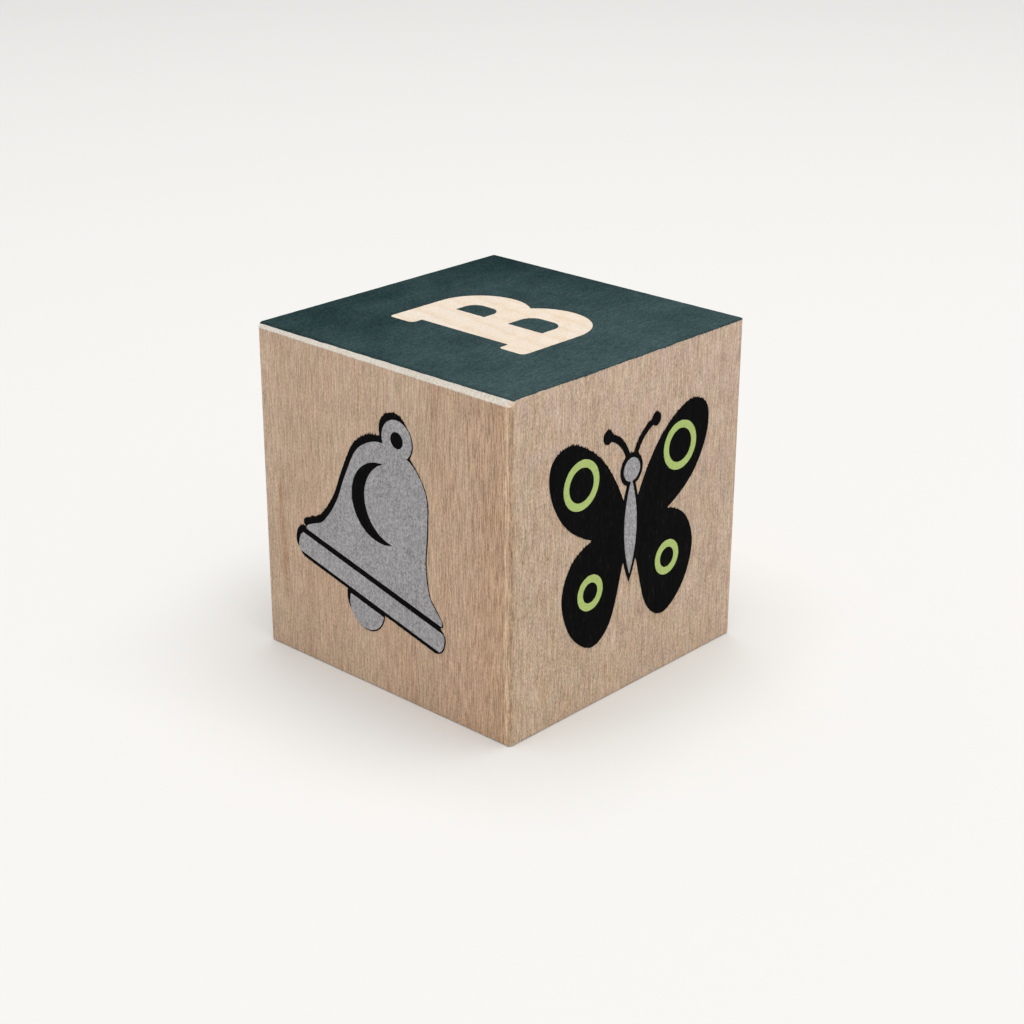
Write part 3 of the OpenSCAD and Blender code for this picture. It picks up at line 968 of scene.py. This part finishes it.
def face_axes(node):
    """Reading directions of the face that this film lies on: right, up and out of the face."""
    low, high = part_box(node)
    size = high - low
    thin = min(range(3), key=lambda axis: size[axis])
    out = Vector((0, 0, 0))
    out[thin] = math.copysign(1, (low + high)[thin] / 2 - block_middle[thin])
    up = Vector((0, 1, 0)) if thin == 2 else Vector((0, 0, 1))
    return up.cross(out), up, out


def chain(steps):
    """Loops from directed edges."""
    loops = []
    while steps:
        start, here = next(iter(steps.items()))
        loop = [start]
        while here != start:
            loop.append(here)
            here = steps[here]
        for key in loop:
            del steps[key]
        loops.append(loop)
    return loops


def read_film(node):
    """The outline of a film, the way its face reads, and the depths that it lies between."""
    right, up, out = face_axes(node)
    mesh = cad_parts[node].data
    offsets = [v.co.dot(out) for v in mesh.vertices]
    inner, outer = min(offsets), max(offsets)
    keys = [(round(v.co.dot(right) / MERGE), round(v.co.dot(up) / MERGE)) for v in mesh.vertices]
    used = set()
    for face in mesh.polygons:
        if all(offsets[v] > outer - HAIR for v in face.vertices):
            corners = [keys[v] for v in face.vertices]
            used.update(zip(corners, corners[1:] + corners[:1]))
    border = {a: b for a, b in used if (b, a) not in used}
    loops = [[Vector(key) * MERGE for key in loop] for loop in chain(border)]
    return Film(loops, right, up, out, inner, outer)


butterfly = read_film("butterfly_black_ink")
print("butterfly outline:", [len(loop) for loop in butterfly.loops], "points, faces", tuple(butterfly.out))

# %% [markdown]
# ## Letting the ink creep
# Wet ink runs along the fibres, so the upper rim of a print ends in a fine fringe, while its flanks stay
# crisp. A displacement texture could fray it, but not fibre by fibre. So the outline is cut into short,
# even steps, and each point is moved up the grain by a height that every fibre has for itself. A print
# on dry ink, or on end grain, gets hardly any fringe.

# %% Cut an outline into even steps
STEP = 0.06 * MM
FEWEST_STEPS = 12


def even_steps(loop, step):
    """The same loop with points at even distances."""
    closed = loop + loop[:1]
    lengths = [(b - a).length for a, b in zip(closed, closed[1:])]
    total = sum(lengths)
    count = max(FEWEST_STEPS, round(total / step))
    points = []
    part = 0
    passed = 0.0
    for i in range(count):
        target = total * i / count
        while passed + lengths[part] < target:
            passed += lengths[part]
            part += 1
        share = (target - passed) / lengths[part] if lengths[part] else 0
        points.append(closed[part].lerp(closed[part + 1], share))
    return points


print("one loop cut:", len(butterfly.loops[0]), "points to", len(even_steps(butterfly.loops[0], STEP)))

# %% Feather an outline
FIBRE_PITCH = 0.24
FIBRE_SWAY = 0.1
SWAYS_ACROSS = 1.7
SWAYS_ALONG = 0.1
SHORTEST_FIBRE = 0.15
FEW_TALL_FIBRES = 1.5
DOWNWARD_SHARE = 0.3
ROUGHS_PER_MM = 2.4
ROUGH_LAYER = 20
Creep = namedtuple("Creep", "fringe rough")
ON_WOOD = Creep(0.38 * MM, 0.025 * MM)
ON_INK = Creep(0.05 * MM, 0.022 * MM)
ON_END_GRAIN = Creep(0.0, 0.045 * MM)


def feather(loop, creep, seed):
    """A loop whose upper rims creep up the fibres, each by its own height, and whose line is rough."""
    points = even_steps(loop, STEP)
    crept = []
    for i, p in enumerate(points):
        along = points[(i + 2) % len(points)] - points[i - 2]
        away = Vector((along.y, -along.x)).normalized()
        u, v = p / MM
        sway = FIBRE_SWAY * noise.noise(Vector((u * SWAYS_ACROSS, v * SWAYS_ALONG, seed)))
        fibre = (u + sway) / FIBRE_PITCH
        tall_fibre = 0.5 + 0.5 * noise.cell(Vector((math.floor(fibre), seed, 0.5)))
        spike = between(SHORTEST_FIBRE, 1.0, tall_fibre ** FEW_TALL_FIBRES) * (1 - abs(2 * (fibre % 1) - 1))
        lift = away.y if away.y > 0 else DOWNWARD_SHARE * away.y
        fringe = creep.fringe * lift * spike
        spot = Vector((u * ROUGHS_PER_MM, v * ROUGHS_PER_MM, seed + ROUGH_LAYER))
        rough = creep.rough * noise.noise(spot)
        crept.append(p + Vector((0, fringe)) + away * rough)
    return crept


print("fibres", FIBRE_PITCH, "mm apart, ink creeps up to", round(ON_WOOD.fringe / MM, 2), "mm")

# %% [markdown]
# ## Printing the sides
# A film is a flat sheet with a real thickness of a few hundredths of a millimetre: filled loops on its
# outer face, the same on its inner face, and a thin wall round each loop. Black lies on the wood, and
# grey or light green lies on the black, at the heights that the CAD model gives.

# %% Print the sides
SEED_STEP = 31.0
SIDE_PRINTS = [
    ("butterfly_print", "butterfly_black_ink", "black_ink", ON_WOOD),
    ("butterfly_rings", "butterfly_rings_green_ink", "light_green_ink", ON_INK),
    ("butterfly_body", "butterfly_body_grey_ink", "grey_ink", ON_INK),
    ("bell_shadow", "bell_black_ink", "black_ink", ON_WOOD),
    ("bell_print", "bell_grey_ink", "grey_ink", ON_INK),
    ("ball_print", "ball_black_ink", "black_ink", ON_WOOD),
    ("ball_seams", "ball_seams_green_ink", "light_green_ink", ON_INK),
    ("ball_shine", "ball_shine_grey_ink", "grey_ink", ON_INK),
    ("boat_shadow", "boat_black_ink", "black_ink", ON_WOOD),
    ("boat_print", "boat_grey_ink", "grey_ink", ON_INK),
]


def thicken(points, ways, faces, inner, outer):
    """A closed film: this sheet pushed out to two depths, joined along its borders."""
    count = len(points)
    shown = [p + w * outer for p, w in zip(points, ways)]
    hidden = [p + w * inner for p, w in zip(points, ways)]
    solid_faces = list(faces) + [tuple(i + count for i in reversed(face)) for face in faces]
    used = {(a, b) for face in faces for a, b in zip(face, face[1:] + face[:1])}
    solid_faces += [(b, a, a + count, b + count) for a, b in sorted(used) if (b, a) not in used]
    return shown + hidden, solid_faces


def print_side(name, node, slot, creep, seed):
    """Prints one film of ink where the CAD model has it."""
    film = read_film(node)
    flat, faces = fill([feather(loop, creep, seed) for loop in film.loops])
    points = [film.right * p.x + film.up * p.y for p in flat]
    points, faces = thicken(points, [film.out] * len(points), faces, film.inner, film.outer)
    add_piece(name, points, faces, inks[slot], node)


for number, (name, node, slot, creep) in enumerate(SIDE_PRINTS):
    print_side(name, node, slot, creep, SEED_STEP * number)

# %% [markdown]
# ## Printing the top
# The green covers the whole top and leaves the letter bare. The roller went a little past the wood, so
# a ragged lip of ink lies on the eased edges, and on the left it reaches over the upper quarter of the
# bevel and leaves the rest bare. A flat film would end in the air there, so the lip follows the formula
# of the skin and lies on the wood everywhere.

# %% Lay the lip of ink
FIELD_START = 1.5 * MM
LIP_SHARES = [0.0, 0.4, 0.62, 0.76, 0.83, 0.88, 0.93, 0.97, 1.0]
OVER_BEVEL = 0.22 * MM
BEVEL_LEEWAY = 0.06 * MM
OVER_RAG = 0.25
LEAST_LAP = 0.75
MORE_LAP = 0.42
LEFT_END = -0.8
LEFT_FADE = 0.3
RAGGED_LAP = 0.35
LIP_LAYER = 0.04
Rag = namedtuple("Rag", "share per_mm")
WIDE_RAG = Rag(0.6, 0.5)
SMALL_RAG = Rag(0.3, 1.6)
FINE_RAG = Rag(0.35, 4.1)
RUN_LENGTH = 0.3 * MM
RUNS_PER_MM = 1.7
RUN_LAYER = Vector((0, 0, 7))
RUN_LEVEL = 0.3


def on_bevel(point):
    """Whether the point lies on the sanded bevel, give or take its roughness."""
    return (point.x + half) + (tall - point.z) < bevel_width(point.y) + BEVEL_LEEWAY


def lip_end(column):
    """How far round the edge the green ink reaches at this column."""
    spot = Vector((column.spread.x * half, column.spread.y * half, LIP_LAYER)) / MM
    wide_rag, small_rag, fine_rag = [
        rag.share * noise.noise(rag.per_mm * spot) for rag in (WIDE_RAG, SMALL_RAG, FINE_RAG)
    ]
    ragged = wide_rag + small_rag
    run = max(0.0, noise.noise(RUNS_PER_MM * spot + RUN_LAYER) - RUN_LEVEL)
    away_from_left = min(max((column.spread.x - LEFT_END) / LEFT_FADE, 0), 1)
    lap = LEAST_LAP + MORE_LAP * away_from_left + RAGGED_LAP * ragged + fine_rag
    reach = -edge_ease(column, True) * lap - RUN_LENGTH * run
    over = OVER_BEVEL * (1 + OVER_RAG * ragged)
    point, _ = skin(column, reach)
    while on_bevel(point) and tall - point.z > over:
        reach += HAIR
        point, _ = skin(column, reach)
    return reach


lip_ends = [lip_end(column) for column in columns]
lip = []
for share in LIP_SHARES:
    for column, end in zip(columns, lip_ends):
        lip.append(skin(column, FIELD_START + share * (end - FIELD_START)))
print(f"ink laps round the edges by {-max(lip_ends) / MM:.2f} to {-min(lip_ends) / MM:.2f} mm")

# %% Print the top
LETTER_SEED = 77.0
top_film = read_film("letter_field_green_ink")
outermost = max(top_film.loops, key=lambda loop: max(p.x for p in loop))
letter_loops = [feather(loop, ON_END_GRAIN, LETTER_SEED) for loop in top_film.loops if loop is not outermost]
field, field_faces = fill([[p.xy for p, _ in lip[:column_count]]] + letter_loops)
letter_points = [Vector((p.x, p.y, tall)) for p in field[column_count:]]
top_points = [p for p, _ in lip] + letter_points
top_ways = [way for _, way in lip] + [Vector((0, 0, 1))] * len(letter_points)
shift = len(lip) - column_count
top_faces = [tuple(i if i < column_count else i + shift for i in face) for face in field_faces]
top_faces += ring_faces(len(LIP_SHARES))
ink_depth = top_film.outer - top_film.inner
top_points, top_faces = thicken(top_points, top_ways, top_faces, 0.0, ink_depth)
top_ink = inks["dark_green_ink"]
add_piece("letter_field", top_points, top_faces, top_ink, "letter_field_green_ink")

# %% [markdown]
# ## Comparing sizes
# The looks must not change the size of the block, so the box of the shown pieces is set against the
# CAD box, and the growth along each axis is printed.

# %% Compare sizes and finish
new_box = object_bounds()
growth = [(b - a) / MM for a, b in zip(cad_box[1] - cad_box[0], new_box[1] - new_box[0])]
print("growth over the CAD box in mm:", [round(g, 3) for g in growth])
